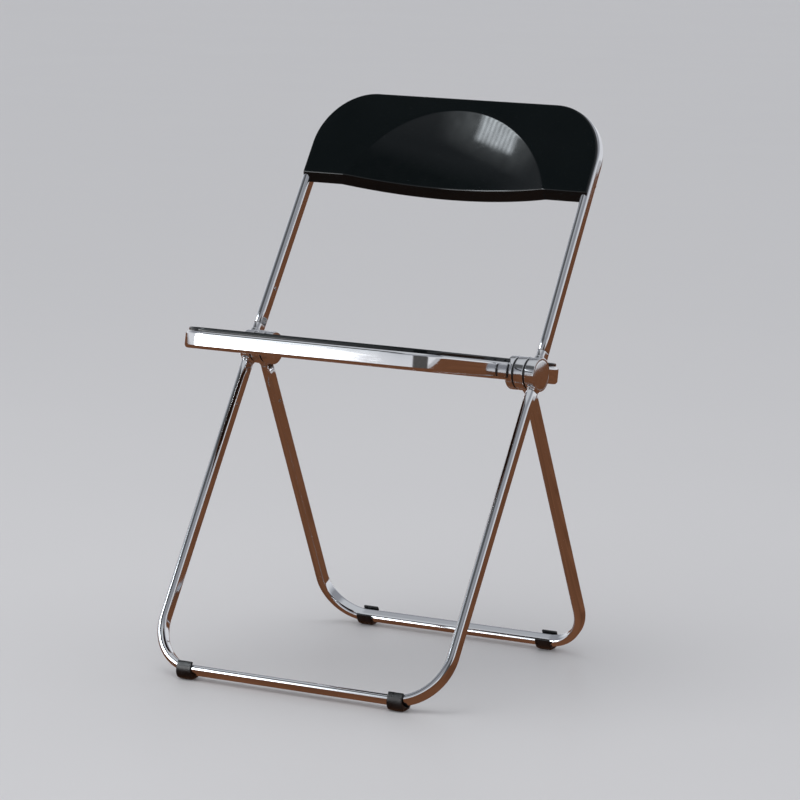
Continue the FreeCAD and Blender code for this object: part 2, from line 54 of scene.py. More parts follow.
# Tube
TUBE_WIDTH, TUBE_DEPTH = 12.0, 21.0
TUBE_END_ROUND = 0.5
JOINT_GAP = 0.15            # half the fine line between a casting's arm and its tube
HOOP_TAPER = 0.9            # degrees
HOOP_BEND, FRONT_BEND, REAR_BEND = 79.0, 70.0, 60.0
UPPER_NECK, LOWER_NECK = 33.0, 26.0

# Hubs
HUB_RADIUS = 23.0
RIM_ROUND = 1.3
CAP_GROOVE = 0.25
ARM_ROOT = 13.0             # where an arm starts inside its disc
ARM_FLARE = 1.4             # the arm's blend into the rim
ARM_FLARE_ACROSS = 0.9      # the most that the blend may add across the flats
ARM_IN_RIM, FLARE_START = 2.5, 0.6      # below the rim: the arm's last plain ring, and its blend's start
CAP_INSET, CAP_PLAY, CAP_ROUND = 0.1, 0.05, 0.5

# Backrest shell
SHELL_FRONT = 12.7
SHELL_SKIN = 3.5
SHELL_INSET = 1.6
SHELL_EDGE = 1.6            # rounding round the front face
SHELL_RIM_BACK = 3.0
SHELL_RIM_WIDTH = 15.0
LIP_RISE, LIP_DEPTH = 11.5, 9.0
DISH_RADIUS, DISH_BALL = 171.0, 526.0
DISH_TOP_MARGIN = 18.0
DISH_CREASE = 0.35          # softness of the crease
SHELL_LIP_SKIN = 6.0        # extra thickness behind the lip
SHELL_LIP_FADE = (3.0, 11.0)        # above the lip: where that starts, and over what height it fades
SHELL_RIM_FADE = (2.0, 3.0)         # the same for the rim, inwards from its width
SHELL_LEAST_SKIN = 0.6
LIP_SOFTNESS = 0.8          # softness of the lip's upper edge

# Seat
RAIL_WIDTH, RAIL_HEIGHT = 11.0, 24.0
RAIL_EDGE = 4.8
LEDGE_WIDTH, LEDGE_HEIGHT = 9.0, 3.0
SEAT_CORNER = 52.0
SEAT_RISE = 1.0
LEDGE_NOTCH = 12.0          # half the gap in the ledge over an axle's head
PANEL_PROUD, PANEL_SKIN = 5.0, 4.0
PANEL_EDGE = 2.0
PANEL_DIP, PANEL_BOWL = 4.0, 4.5         # depth of the step inside the flange, and of the bowl in it
PANEL_DIP_START, PANEL_DIP_RUN, PANEL_BOWL_RUN = 12.0, 46.0, 170.0      # inwards from the panel's edge
PANEL_PLAY = 0.4            # round the part that sits inside the ring
PANEL_SHRINK_START = 40.0   # past this inset an outline only shrinks towards the middle

# Feet
FOOT_WALL, FOOT_LIP, FOOT_HOOK = 1.8, 7.6, 0.6
FOOT_FACE = (12.0, -1.5)
FOOT_SOLE = (-4.5, 3.0)
FOOT_BULGE = (1.4, 2.4, 2.4)
FOOT_END_ROUND = 4.5
FOOT_EDGE = 0.9


# ---------------------------------------------------------------- places, all from the CAD frame

def middle(node):
    low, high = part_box(node)
    return (low + high) / 2


def across(node, side):
    """The lowest or highest X of a node, in millimetres."""
    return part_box(node)[side].x / MM


HUB = Vector((0, middle("hub_cap_r").y, middle("hub_cap_r").z))


def frame_plane(turn):
    return Matrix.Translation(HUB) @ Matrix.Rotation(math.radians(turn), 4, "X")


FRONT_PLANE = frame_plane(90 - FRONT_LEAN)
REAR_PLANE = frame_plane(90 + REAR_LEAN)
SEAT_PLANE = frame_plane(-SEAT_TILT)


def along(node, plane):
    """A node's lowest and highest corner in a frame's own plane, in millimetres."""
    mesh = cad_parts[node].data
    points = np.array([vertex.co for vertex in mesh.vertices])
    inverse = np.array(plane.inverted())
    local = (points @ inverse[:3, :3].T + inverse[:3, 3]) / MM
    return local.min(0), local.max(0)


HOOP_HIGH = along("back_hoop", FRONT_PLANE)[1]
LEGS_LOW, LEGS_HIGH = along("front_leg_hoop", FRONT_PLANE)
REAR_LOW, REAR_HIGH = along("rear_leg_hoop", REAR_PLANE)
RING_LOW, RING_HIGH = along("seat_frame", SEAT_PLANE)
HALF_TUBE = TUBE_WIDTH / 2
FRONT_HALF_WIDTH = LEGS_HIGH[0] - HALF_TUBE
REAR_HALF_WIDTH = REAR_HIGH[0] - HALF_TUBE
HOOP_TOP = HOOP_HIGH[1] - HALF_TUBE
FRONT_BAR = -LEGS_LOW[1] - HALF_TUBE
REAR_BAR = -REAR_LOW[1] - HALF_TUBE
SEAT_HALF_WIDTH = RING_HIGH[0]
SEAT_FRONT, SEAT_REAR = -RING_LOW[1], RING_HIGH[1]
SHELL_BOTTOM = along("backrest_shell", FRONT_PLANE)[0][1]
PANEL_INSET = SEAT_HALF_WIDTH - along("seat_panel", SEAT_PLANE)[1][0]


# ---------------------------------------------------------------- mesh building

def add_piece(name, points, faces, plane, material, body, slot, stands_for, smooth=35):
    """A mesh drawn in a frame's plane, in millimetres, made into a piece that rides on a body."""
    mesh = bpy.data.meshes.new(name)
    mesh.from_pydata((np.asarray(points, float) * MM).tolist(), [], faces)
    mesh.transform(plane)
    mesh.validate()
    skin = bmesh.new()
    skin.from_mesh(mesh)
    bmesh.ops.recalc_face_normals(skin, faces=skin.faces)
    skin.to_mesh(mesh)
    skin.free()
    mesh.polygons.foreach_set("use_smooth", [True] * len(mesh.polygons))
    mesh.set_sharp_from_angle(angle=math.radians(smooth))
    mesh.materials.append(material)
    mesh.update()
    piece = bpy.data.objects.new(name, mesh)
    bpy.context.scene.collection.objects.link(piece)
    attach(piece, body)
    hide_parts(*stands_for)


def strip_faces(rows, columns, first=0, wrap_columns=True, wrap_rows=False):
    """Quads between rows of points. Each row holds the same number of points."""
    faces = []
    for row in range(rows if wrap_rows else rows - 1):
        for column in range(columns if wrap_columns else columns - 1):
            a = first + row * columns + column
            b = first + row * columns + (column + 1) % columns
            shift = ((row + 1) % rows - row) * columns
            faces.append((a, b, b + shift, a + shift))
    return faces


def closed_sleeve(rings):
    """Points and faces of a closed skin through rings of points, with both ends capped."""
    count = len(rings[0])
    faces = strip_faces(len(rings), count)
    faces.append(tuple(reversed(range(count))))
    last = (len(rings) - 1) * count
    faces.append(tuple(last + k for k in range(count)))
    return np.concatenate(rings), faces


def arc_points(centre, radius, start, end, steps):
    angles = np.radians(np.linspace(start, end, steps + 1))
    return np.stack([centre[0] + radius * np.cos(angles), centre[1] + radius * np.sin(angles)], 1)


def oval(shrink=0.0, grow_across=0.0, grow_deep=0.0, steps=18):
    """The tube's flat-oval section: columns are across the flats and front to back."""
    radius = TUBE_WIDTH / 2 - shrink + grow_across
    straight = (TUBE_DEPTH - TUBE_WIDTH) / 2 + max(grow_deep - grow_across, 0)
    front = arc_points((0, straight), radius, 0, 180, steps)
    back = arc_points((0, -straight), radius, 180, 360, steps)
    flat = np.array([[-radius, straight * 0.6], [-radius, -straight * 0.6]])
    return np.concatenate([front, flat, back, -flat])


def hoop_path(half_width, start, top, bend, taper):
    """Points and headings along a hoop's centreline, from its right-hand end to its left-hand end."""
    lean = math.radians(taper)
    heading = np.array([-math.sin(lean), math.cos(lean)])
    begin = np.array([half_width, 0.0]) + heading * start
    bend_start = top - bend * (1 - math.sin(lean))
    corner = begin + heading * (bend_start - begin[1]) / heading[1]
    side = np.array([-heading[1], heading[0]])
    centre = corner + side * bend
    points = [begin + (corner - begin) * t for t in np.linspace(0, 1, 16)[:-1]]
    headings = [heading] * len(points)
    for angle in np.radians(np.linspace(0, 90 - taper, 33)):
        turn = np.array([[math.cos(angle), -math.sin(angle)], [math.sin(angle), math.cos(angle)]])
        points.append(centre + turn @ (corner - centre))
        headings.append(turn @ heading)
    mirror = np.array([-1.0, 1.0])
    span = np.linspace(1, -1, 14)[1:-1]
    points += [np.array([points[-1][0] * t, top]) for t in span]
    headings += [np.array([-1.0, 0.0])] * len(span)
    half = len(points) - len(span)
    points += [point * mirror for point in reversed(points[:half])]
    headings += [heading * np.array([1.0, -1.0]) for heading in reversed(headings[:half])]
    return points, headings


def path_ring(point, heading, section):
    side = np.array([-heading[1], heading[0]])
    plane_part = point + section[:, :1] * side
    return np.concatenate([plane_part, section[:, 1:]], 1)


def tube_hoop(half_width, start, top, bend, taper=0.0, upside_down=False):
    """A bent tube whose ends are rounded over and stop just short of the castings' arms."""
    points, headings = hoop_path(half_width, start + JOINT_GAP, top, bend, taper)
    rings = [path_ring(point, heading, oval()) for point, heading in zip(points, headings)]
    for end, inwards in ((0, 1), (-1, -1)):
        heading = headings[end]
        rings[end] = path_ring(points[end] + heading * TUBE_END_ROUND * inwards, heading, oval())
        for angle in np.radians((60, 30, 0)):
            step = TUBE_END_ROUND * (1 - math.sin(angle)) * inwards
            section = oval(TUBE_END_ROUND * (1 - math.cos(angle)))
            ring = path_ring(points[end] + heading * step, heading, section)
            rings.insert(0 if end == 0 else len(rings), ring)
    skin, faces = closed_sleeve(rings)
    if upside_down:
        skin = skin * np.array([-1, -1, 1])
    return skin, faces


def lathe(profile, steps=120):
    """Turns (x, radius) points, which start and end on the axis, about the X axis."""
    angles = np.linspace(0, 2 * math.pi, steps, endpoint=False)
    rings = [np.stack([np.full(steps, x), r * np.cos(angles), r * np.sin(angles)], 1)
             for x, r in profile[1:-1]]
    points = np.concatenate(rings + [np.array([[profile[0][0], 0, 0], [profile[-1][0], 0, 0]])])
    faces = [tuple(reversed(face)) for face in strip_faces(len(rings), steps)]
    first, last = len(points) - 2, len(points) - 1
    end = (len(rings) - 1) * steps
    for k in range(steps):
        following = (k + 1) % steps
        faces.append((first, following, k))
        faces.append((last, end + k, end + following))
    return points, faces


def rounded_profile(corners):
    """(x, radius, rounding) corners as a profile with round corners."""
    points = []
    for k, (x, r, rounding) in enumerate(corners):
        if rounding <= 0:
            points.append((x, r))
            continue
        here = np.array([x, r])
        towards = [np.array(corners[k + step][:2]) - here for step in (-1, 1)]
        unit = [vector / np.linalg.norm(vector) for vector in towards]
        start, end = here + unit[0] * rounding, here + unit[1] * rounding
        for t in np.linspace(0, 1, 7):
            points.append(tuple((1 - t) ** 2 * start + 2 * t * (1 - t) * here + t ** 2 * end))
    return points


def arm(x_place, neck_end, taper=0.0, upside_down=False):
    """A casting's arm: the tube's section, flared where it meets the rim."""
    lean = math.radians(taper)
    heading = np.array([-math.sin(lean), math.cos(lean)])
    rings = []
    blend = np.linspace(HUB_RADIUS - FLARE_START, HUB_RADIUS + ARM_FLARE, 9)
    for distance in [ARM_ROOT, HUB_RADIUS - ARM_IN_RIM] + list(blend):
        rise = min(max(distance - HUB_RADIUS + FLARE_START, 0), ARM_FLARE)
        flare = ARM_FLARE - math.sqrt(ARM_FLARE ** 2 - (ARM_FLARE - rise) ** 2)
        section = oval(grow_across=min(flare, ARM_FLARE_ACROSS), grow_deep=flare)
        rings.append(path_ring(np.array([x_place, 0]) + heading * distance, heading, section))
    end = neck_end - JOINT_GAP
    for angle in (90, 60, 30, 0):
        shrink = TUBE_END_ROUND * (1 - math.sin(math.radians(angle)))
        step = TUBE_END_ROUND * (1 - math.cos(math.radians(angle)))
        place = np.array([x_place, 0]) + heading * (end - step)
        rings.append(path_ring(place, heading, oval(shrink)))
    skin, faces = closed_sleeve(rings)
    if upside_down:
        skin = skin * np.array([1, -1, -1])
    return skin, faces


def joined(parts):
    """Several (points, faces) as one."""
    points, faces, first = [], [], 0
    for part_points, part_faces in parts:
        points.append(part_points)
        faces += [tuple(k + first for k in face) for face in part_faces]
        first += len(part_points)
    return np.concatenate(points), faces


def flipped(points, faces):
    """The left-hand twin of a right-hand mesh."""
    return points * np.array([-1, 1, 1]), [tuple(reversed(face)) for face in faces]


# ---------------------------------------------------------------- materials

class Recipe:
    """A procedural material: its nodes are laid on the object's own coordinates."""

    def __init__(self, name):
        self.material = bpy.data.materials.new(name)
        self.material.use_nodes = True
        self.tree = self.material.node_tree
        self.shader = self.tree.nodes["Principled BSDF"]
        self.place = self.tree.nodes.new("ShaderNodeTexCoord").outputs["Object"]

    def node(self, kind, **inputs):
        node = self.tree.nodes.new(kind)
        for name, value in inputs.items():
            self.put(node.inputs[name.replace("_", " ")], value)
        return node

    def put(self, socket, value):
        if isinstance(value, bpy.types.NodeSocket):
            self.tree.links.new(value, socket)
        else:
            socket.default_value = value

    def noise(self, scale, detail=3.0, stretch=None):
        place = self.place
        if stretch:
            place = self.node("ShaderNodeMapping", Vector=place, Scale=stretch).outputs[0]
        return self.node("ShaderNodeTexNoise", Vector=place, Scale=scale, Detail=detail).outputs["Fac"]

    def specks(self, scale, size):
        """1 on scattered specks, 0 elsewhere."""
        cells = self.node("ShaderNodeTexVoronoi", Vector=self.place, Scale=scale).outputs["Distance"]
        return self.fit(cells, size, size * 0.6, 0.0, 1.0)

    def fit(self, value, from_low, from_high, to_low, to_high):
        node = self.tree.nodes.new("ShaderNodeMapRange")
        for socket, number in zip(node.inputs[1:5], (from_low, from_high, to_low, to_high)):
            socket.default_value = number
        self.put(node.inputs[0], value)
        return node.outputs[0]

    def add(self, first, second, operation="ADD"):
        node = self.tree.nodes.new("ShaderNodeMath")
        node.operation = operation
        self.put(node.inputs[0], first)
        self.put(node.inputs[1], second)
        return node.outputs[0]

    def blend(self, factor, first, second):
        node = self.tree.nodes.new("ShaderNodeMix")
        node.data_type = "RGBA"
        self.put(node.inputs["Factor"], factor)
        self.put(node.inputs[6], (*first, 1.0) if isinstance(first, tuple) else first)
        self.put(node.inputs[7], (*second, 1.0) if isinstance(second, tuple) else second)
        return node.outputs[2]

    def finish(self, colour, roughness, height, depth, metallic=0.0, **uniform):
        """Links colour, roughness and bump. Uniform numbers go on the shader's own sockets."""
        self.put(self.shader.inputs["Base Color"], colour)
        self.put(self.shader.inputs["Roughness"], roughness)
        self.shader.inputs["Metallic"].default_value = metallic
        for name, value in uniform.items():
            self.shader.inputs[name.replace("_", " ")].default_value = value
        bump = self.tree.nodes.new("ShaderNodeBump")
        bump.inputs["Strength"].default_value = 1.0
        bump.inputs["Distance"].default_value = depth
        self.put(bump.inputs["Height"], height)
        self.tree.links.new(bump.outputs[0], self.shader.inputs["Normal"])
        return self.material


def chrome():
    recipe = Recipe("polished_chrome")
    cloud = recipe.noise(9.0, 2.0)
    haze = recipe.noise(60.0, 4.0)
    specks = recipe.specks(420.0, 0.10)
    colour = recipe.blend(cloud, (0.80, 0.81, 0.83), (0.72, 0.73, 0.75))
    colour = recipe.blend(recipe.add(specks, 0.25, "MULTIPLY"), colour, (0.30, 0.28, 0.26))
    roughness = recipe.add(recipe.fit(haze, 0.3, 0.75, 0.035, 0.10), recipe.add(specks, 0.2, "MULTIPLY"))
    return recipe.finish(colour, roughness, recipe.noise(220.0, 2.0), 0.000004, metallic=1.0)


def casting():
    recipe = Recipe("polished_casting")
    cloud = recipe.noise(40.0, 3.0)
    fine = recipe.noise(700.0, 2.0, stretch=(0.15, 1.0, 1.0))
    colour = recipe.blend(cloud, (0.80, 0.80, 0.81), (0.70, 0.71, 0.73))
    roughness = recipe.add(recipe.fit(cloud, 0.3, 0.7, 0.06, 0.13), recipe.fit(fine, 0.4, 0.8, 0.0, 0.06))
    return recipe.finish(colour, roughness, fine, 0.000006, metallic=1.0)


def seat_rail():
    recipe = Recipe("polished_rail")
    cloud = recipe.noise(12.0, 3.0)
    buff = recipe.noise(500.0, 3.0, stretch=(0.08, 0.08, 1.0))
    colour = recipe.blend(cloud, (0.83, 0.83, 0.84), (0.74, 0.75, 0.77))
    roughness = recipe.add(recipe.fit(cloud, 0.3, 0.7, 0.04, 0.09), recipe.fit(buff, 0.45, 0.8, 0.0, 0.07))
    return recipe.finish(colour, roughness, buff, 0.000004, metallic=1.0)


def black_shell():
    recipe = Recipe("glossy_black_plastic")
    smudge = recipe.noise(14.0, 4.0)
    swirl = recipe.noise(300.0, 3.0, stretch=(0.25, 1.0, 0.6))
    dust = recipe.specks(260.0, 0.055)
    colour = recipe.blend(smudge, (0.0016, 0.0030, 0.0034), (0.0028, 0.0048, 0.0054))
    colour = recipe.blend(recipe.add(dust, 0.35, "MULTIPLY"), colour, (0.16, 0.16, 0.15))
    roughness = recipe.add(recipe.fit(smudge, 0.35, 0.7, 0.03, 0.07), recipe.fit(swirl, 0.5, 0.85, 0.0, 0.05))
    roughness = recipe.add(roughness, recipe.add(dust, 0.4, "MULTIPLY"))
    ripple = recipe.add(recipe.noise(35.0, 1.0), recipe.add(swirl, 0.04, "MULTIPLY"))
    return recipe.finish(colour, roughness, ripple, 0.00002, IOR=1.40)


def rubber():
    recipe = Recipe("black_rubber")
    grain = recipe.noise(1400.0, 3.0)
    scuff = recipe.noise(90.0, 5.0)
    colour = recipe.blend(scuff, (0.003, 0.003, 0.0035), (0.009, 0.009, 0.009))
    roughness = recipe.fit(scuff, 0.3, 0.75, 0.22, 0.40)
    return recipe.finish(colour, roughness, grain, 0.00006)


def washer_plastic():
    recipe = Recipe("black_washer_plastic")
    grain = recipe.noise(900.0, 2.0)
    colour = recipe.blend(grain, (0.010, 0.010, 0.010), (0.022, 0.022, 0.022))
    return recipe.finish(colour, recipe.fit(grain, 0.3, 0.7, 0.35, 0.5), grain, 0.00002)


def bright_steel():
    recipe = Recipe("bright_steel")
    turned = recipe.noise(1500.0, 2.0, stretch=(1.0, 0.2, 0.2))
    cloud = recipe.noise(150.0, 3.0)
    colour = recipe.blend(cloud, (0.60, 0.60, 0.60), (0.46, 0.46, 0.47))
    return recipe.finish(colour, recipe.fit(turned, 0.3, 0.75, 0.16, 0.34), turned, 0.00001, metallic=1.0)


CHROME = chrome()
CASTING = casting()
RAIL = seat_rail()
PLASTIC = black_shell()
RUBBER = rubber()
WASHER = washer_plastic()
STEEL = bright_steel()


# ---------------------------------------------------------------- tubes

def make_tubes():
    hoop = tube_hoop(FRONT_HALF_WIDTH, UPPER_NECK, HOOP_TOP, HOOP_BEND, HOOP_TAPER)
    legs = tube_hoop(FRONT_HALF_WIDTH, LOWER_NECK, FRONT_BAR, FRONT_BEND, upside_down=True)
    rear = tube_hoop(REAR_HALF_WIDTH, LOWER_NECK, REAR_BAR, REAR_BEND, upside_down=True)
    add_piece("hoop_tube", *hoop, FRONT_PLANE, CHROME, "front_frame", "polished_chrome", ["back_hoop"])
    add_piece("front_leg_tube", *legs, FRONT_PLANE, CHROME, "front_frame", "polished_chrome",
              ["front_leg_hoop"])
    add_piece("rear_leg_tube", *rear, REAR_PLANE, CHROME, "rear_legs", "polished_chrome", ["rear_leg_hoop"])


# ---------------------------------------------------------------- hubs

def plain_disc(node):
    low, high = across(node, 0), across(node, 1)
    return lathe(rounded_profile([(low, 0, 0), (low, HUB_RADIUS, RIM_ROUND), (high, HUB_RADIUS, RIM_ROUND),
                                  (high, 0, 0)]))


def make_hubs():
    outer_face = across("hub_outer_disc_r", 1)
    cap_low, cap_high = across("hub_cap_r", 0), across("hub_cap_r", 1)
    cap_radius = (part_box("hub_cap_r")[1].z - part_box("hub_cap_r")[0].z) / 2 / MM
    outer_low = across("hub_outer_disc_r", 0)
    outer = rounded_profile([
        (outer_low, 0, 0), (outer_low, HUB_RADIUS, RIM_ROUND), (outer_face, HUB_RADIUS, RIM_ROUND),
        (outer_face, cap_radius + CAP_GROOVE, 0.25), (cap_low, cap_radius + CAP_GROOVE, 0), (cap_low, 0, 0)])
    cap_edge = outer_face + CAP_INSET
    round_x, round_r = cap_edge - CAP_ROUND, cap_radius - CAP_INSET - CAP_ROUND
    rim = cap_radius - CAP_INSET
    cap = [(cap_low + CAP_PLAY, 0), (cap_low + CAP_PLAY, rim), (round_x, rim)]
    cap += [(round_x + CAP_ROUND * math.sin(t), round_r + CAP_ROUND * math.cos(t)) for t in (0.5, 1.0)]
    crown = cap_high - cap_edge
    cap += [(cap_edge + crown * (1 - r * r), round_r * r) for r in np.linspace(0.98, 0.04, 14)]
    cap += [(cap_high, 0)]
    castings = (
        ("hub_outer_disc", "front_frame", FRONT_PLANE, "outer_hub_casting",
         [lathe(outer), arm(FRONT_HALF_WIDTH, UPPER_NECK, HOOP_TAPER),
          arm(FRONT_HALF_WIDTH, LOWER_NECK, upside_down=True)]),
        ("hub_cap", "front_frame", FRONT_PLANE, "hub_face_cap", [lathe(cap)]),
        ("hub_middle_disc", "rear_legs", REAR_PLANE, "middle_hub_casting",
         [plain_disc("hub_middle_disc_r"), arm(REAR_HALF_WIDTH, LOWER_NECK, upside_down=True)]),
        ("hub_inner_disc", "seat", SEAT_PLANE, "inner_hub_casting",
         [plain_disc("hub_inner_disc_r")]),
    )
    for node, body, plane, name, parts in castings:
        right = joined(parts)
        add_piece(name + "_r", *right, plane, CASTING, body, "polished_casting", [node + "_r"])
        add_piece(name + "_l", *flipped(*right), plane, CASTING, body, "polished_casting", [node + "_l"])


# ---------------------------------------------------------------- backrest shell

def shell_half_width(s):
    """The shell's half width at a height along the frame."""
    lean = math.radians(HOOP_TAPER)
    edge = HALF_TUBE - SHELL_INSET
    bend = HOOP_BEND + edge
    bend_start = HOOP_TOP - HOOP_BEND * (1 - math.sin(lean))
    side_x = FRONT_HALF_WIDTH - bend_start * math.tan(lean)
    centre_x = side_x - HOOP_BEND * math.cos(lean)
    centre_s = bend_start - HOOP_BEND * math.sin(lean)
    on_side = centre_x + bend * math.cos(lean) + (centre_s + bend * math.sin(lean) - s) * math.tan(lean)
    rise = np.clip(s - centre_s, -bend, bend)
    on_bend = centre_x + np.sqrt(bend ** 2 - rise ** 2)
    return np.where(s > centre_s + bend * math.sin(lean), on_bend, on_side)


def smooth_step(value):
    t = np.clip(value, 0, 1)
    return t * t * (3 - 2 * t)


def make_backrest():
    edge = HALF_TUBE - SHELL_INSET
    top = HOOP_TOP + edge
    corner_s = HOOP_TOP - HOOP_BEND
    bend = HOOP_BEND + edge
    lower_rows = np.concatenate([
        SHELL_BOTTOM + np.array([0, 0.5, 1.2, 2.5, 4.5, 6.5]),
        SHELL_BOTTOM + LIP_RISE + np.arange(-1.8, 3.0, 0.3),
        np.arange(SHELL_BOTTOM + LIP_RISE + 3.5, corner_s, 1.5)])
    upper_rows = corner_s + bend * np.sin(np.radians(np.linspace(0, 89.2, 90)))
    rows = np.concatenate([lower_rows, upper_rows])
    inset = np.array([0, 0.12, 0.3, 0.6, 1.0, 1.5, 2.0, 3.0])
    crease_s = top - DISH_TOP_MARGIN - DISH_RADIUS
    ball_n = SHELL_FRONT + math.sqrt(DISH_BALL ** 2 - DISH_RADIUS ** 2)
    half = shell_half_width(rows)
    sheet = []
    for s, w in zip(rows, half):
        inner = np.linspace(-1, 1, 301)[1:-1] * (w - inset[-1])
        sheet.append(np.concatenate([inset - w, inner, (w - inset)[::-1]]))
    x = np.array(sheet)
    s = np.repeat(rows[:, None], x.shape[1], 1)
    ball = ball_n - np.sqrt(np.maximum(DISH_BALL ** 2 - x ** 2 - (s - crease_s) ** 2, 0))
    difference = ball - SHELL_FRONT
    face = SHELL_FRONT + 0.5 * (difference - np.sqrt(difference ** 2 + DISH_CREASE ** 2))
    # distance to the outline: its sides, bends and top
    centre_x = shell_half_width(np.array([corner_s]))[0] - bend
    reach = np.hypot(np.maximum(np.abs(x) - centre_x, 0), np.maximum(s - corner_s, 0))
    side = half[:, None] - np.abs(x)
    to_edge = np.where(s > corner_s, bend - reach, side)
    to_edge = np.clip(to_edge, 0, None)
    on_round = np.clip(SHELL_EDGE - to_edge, 0, None)
    rounding = SHELL_EDGE - np.sqrt(np.clip(SHELL_EDGE ** 2 - on_round ** 2, 0, None))
    below = SHELL_BOTTOM + LIP_RISE - s
    below = (below + np.sqrt(below ** 2 + LIP_SOFTNESS ** 2)) / 2
    lip = LIP_DEPTH * below / LIP_RISE
    front = face - rounding - lip
    lip_start, lip_fade = SHELL_LIP_FADE
    thicker = smooth_step((SHELL_BOTTOM + LIP_RISE + lip_start - s) / lip_fade)
    back = face - SHELL_SKIN - SHELL_LIP_SKIN * thicker
    rim_start, rim_fade = SHELL_RIM_FADE
    rim = smooth_step((SHELL_RIM_WIDTH + rim_start - to_edge) / rim_fade)
    back = back * (1 - rim) + np.minimum(back, SHELL_RIM_BACK) * rim
    back = np.minimum(back, front - SHELL_LEAST_SKIN)
    rows_count, columns = x.shape
    points = np.concatenate([np.stack([x, s, n], 2).reshape(-1, 3) for n in (front, back)])
    total = rows_count * columns
    faces = strip_faces(rows_count, columns, 0, wrap_columns=False)
    faces += [tuple(reversed(f)) for f in strip_faces(rows_count, columns, total, wrap_columns=False)]
    border = [(0, k) for k in range(columns)] + [(r, columns - 1) for r in range(1, rows_count)]
    border += [(rows_count - 1, k) for k in range(columns - 2, -1, -1)]
    border += [(r, 0) for r in range(rows_count - 2, 0, -1)]
    loop = [r * columns + c for r, c in border]
    for a, b in zip(loop, loop[1:] + loop[:1]):
        faces.append((b, a, a + total, b + total))
    add_piece("moulded_backrest", points, faces, FRONT_PLANE, PLASTIC, "front_frame", "black_shell",
              ["backrest_shell"], smooth=40)


# ---------------------------------------------------------------- seat

def seat_outline(inset):
    """Points round the seat's outline at an inset, from the front right corner, always the same count."""
    half, near, far = SEAT_HALF_WIDTH - inset, -SEAT_FRONT + inset, SEAT_REAR - inset
    bend = max(SEAT_CORNER - inset, 1.0)
    notch = [-LEDGE_NOTCH - 0.05, -LEDGE_NOTCH, LEDGE_NOTCH, LEDGE_NOTCH + 0.05]
    along_side = np.sort(np.concatenate([np.linspace(near + bend, far - bend, 14)[1:-1], notch]))
    along_end = np.linspace(half - bend, -half + bend, 16)[1:-1]
    runs = [arc_points((half - bend, near + bend), bend, -90, 0, 24), [(half, y) for y in along_side],
            arc_points((half - bend, far - bend), bend, 0, 90, 24), [(x, far) for x in along_end],
            arc_points((-half + bend, far - bend), bend, 90, 180, 24), [(-half, y) for y in along_side[::-1]],
            arc_points((-half + bend, near + bend), bend, 180, 270, 24), [(x, near) for x in along_end[::-1]]]
    return np.concatenate(runs)


def make_ring():
    low, high = SEAT_RISE - RAIL_HEIGHT / 2, SEAT_RISE + RAIL_HEIGHT / 2
    ledge_top = high - PANEL_SKIN
    inside = RAIL_WIDTH + LEDGE_WIDTH
    corners = [(0, low, RAIL_EDGE), (0, high, RAIL_EDGE), (RAIL_WIDTH, high, 0.8),
               (RAIL_WIDTH, ledge_top, 0.3), (inside, ledge_top, 0.5),
               (inside, ledge_top - LEDGE_HEIGHT, 0.5),
               (RAIL_WIDTH, ledge_top - LEDGE_HEIGHT, 1.2), (RAIL_WIDTH, low, 1.0)]
    profile = []
    for k, (inset, n, radius) in enumerate(corners):
        here = np.array([inset, n])
        ends = [np.array(corners[(k + step) % len(corners)][:2]) - here for step in (-1, 1)]
        start, end = (here + e / np.linalg.norm(e) * radius for e in ends)
        steps = 12 if radius > 2 else 4
        centre = start + end - here
        first = math.degrees(math.atan2(*(start - centre)[::-1]))
        last = math.degrees(math.atan2(*(end - centre)[::-1]))
        sweep = (last - first + 180) % 360 - 180
        profile += list(arc_points(centre, radius, first, first + sweep, steps))
    rows = []
    for inset, n in profile:
        outline = seat_outline(inset)
        on_side = np.abs(outline[:, 0]) > SEAT_HALF_WIDTH - inside - 1
        notched = on_side & (np.abs(outline[:, 1]) <= LEDGE_NOTCH)
        limit = SEAT_HALF_WIDTH - min(inset, RAIL_WIDTH + 0.05)
        outline[notched, 0] = np.sign(outline[notched, 0]) * limit
        rows.append(np.concatenate([outline, np.full((len(outline), 1), n)], 1))
    faces = strip_faces(len(rows), len(rows[0]), wrap_rows=True)
    faces = [tuple(reversed(face)) for face in faces]
    add_piece("seat_ring", np.concatenate(rows), faces, SEAT_PLANE, RAIL, "seat", "seat_rail", ["seat_frame"])


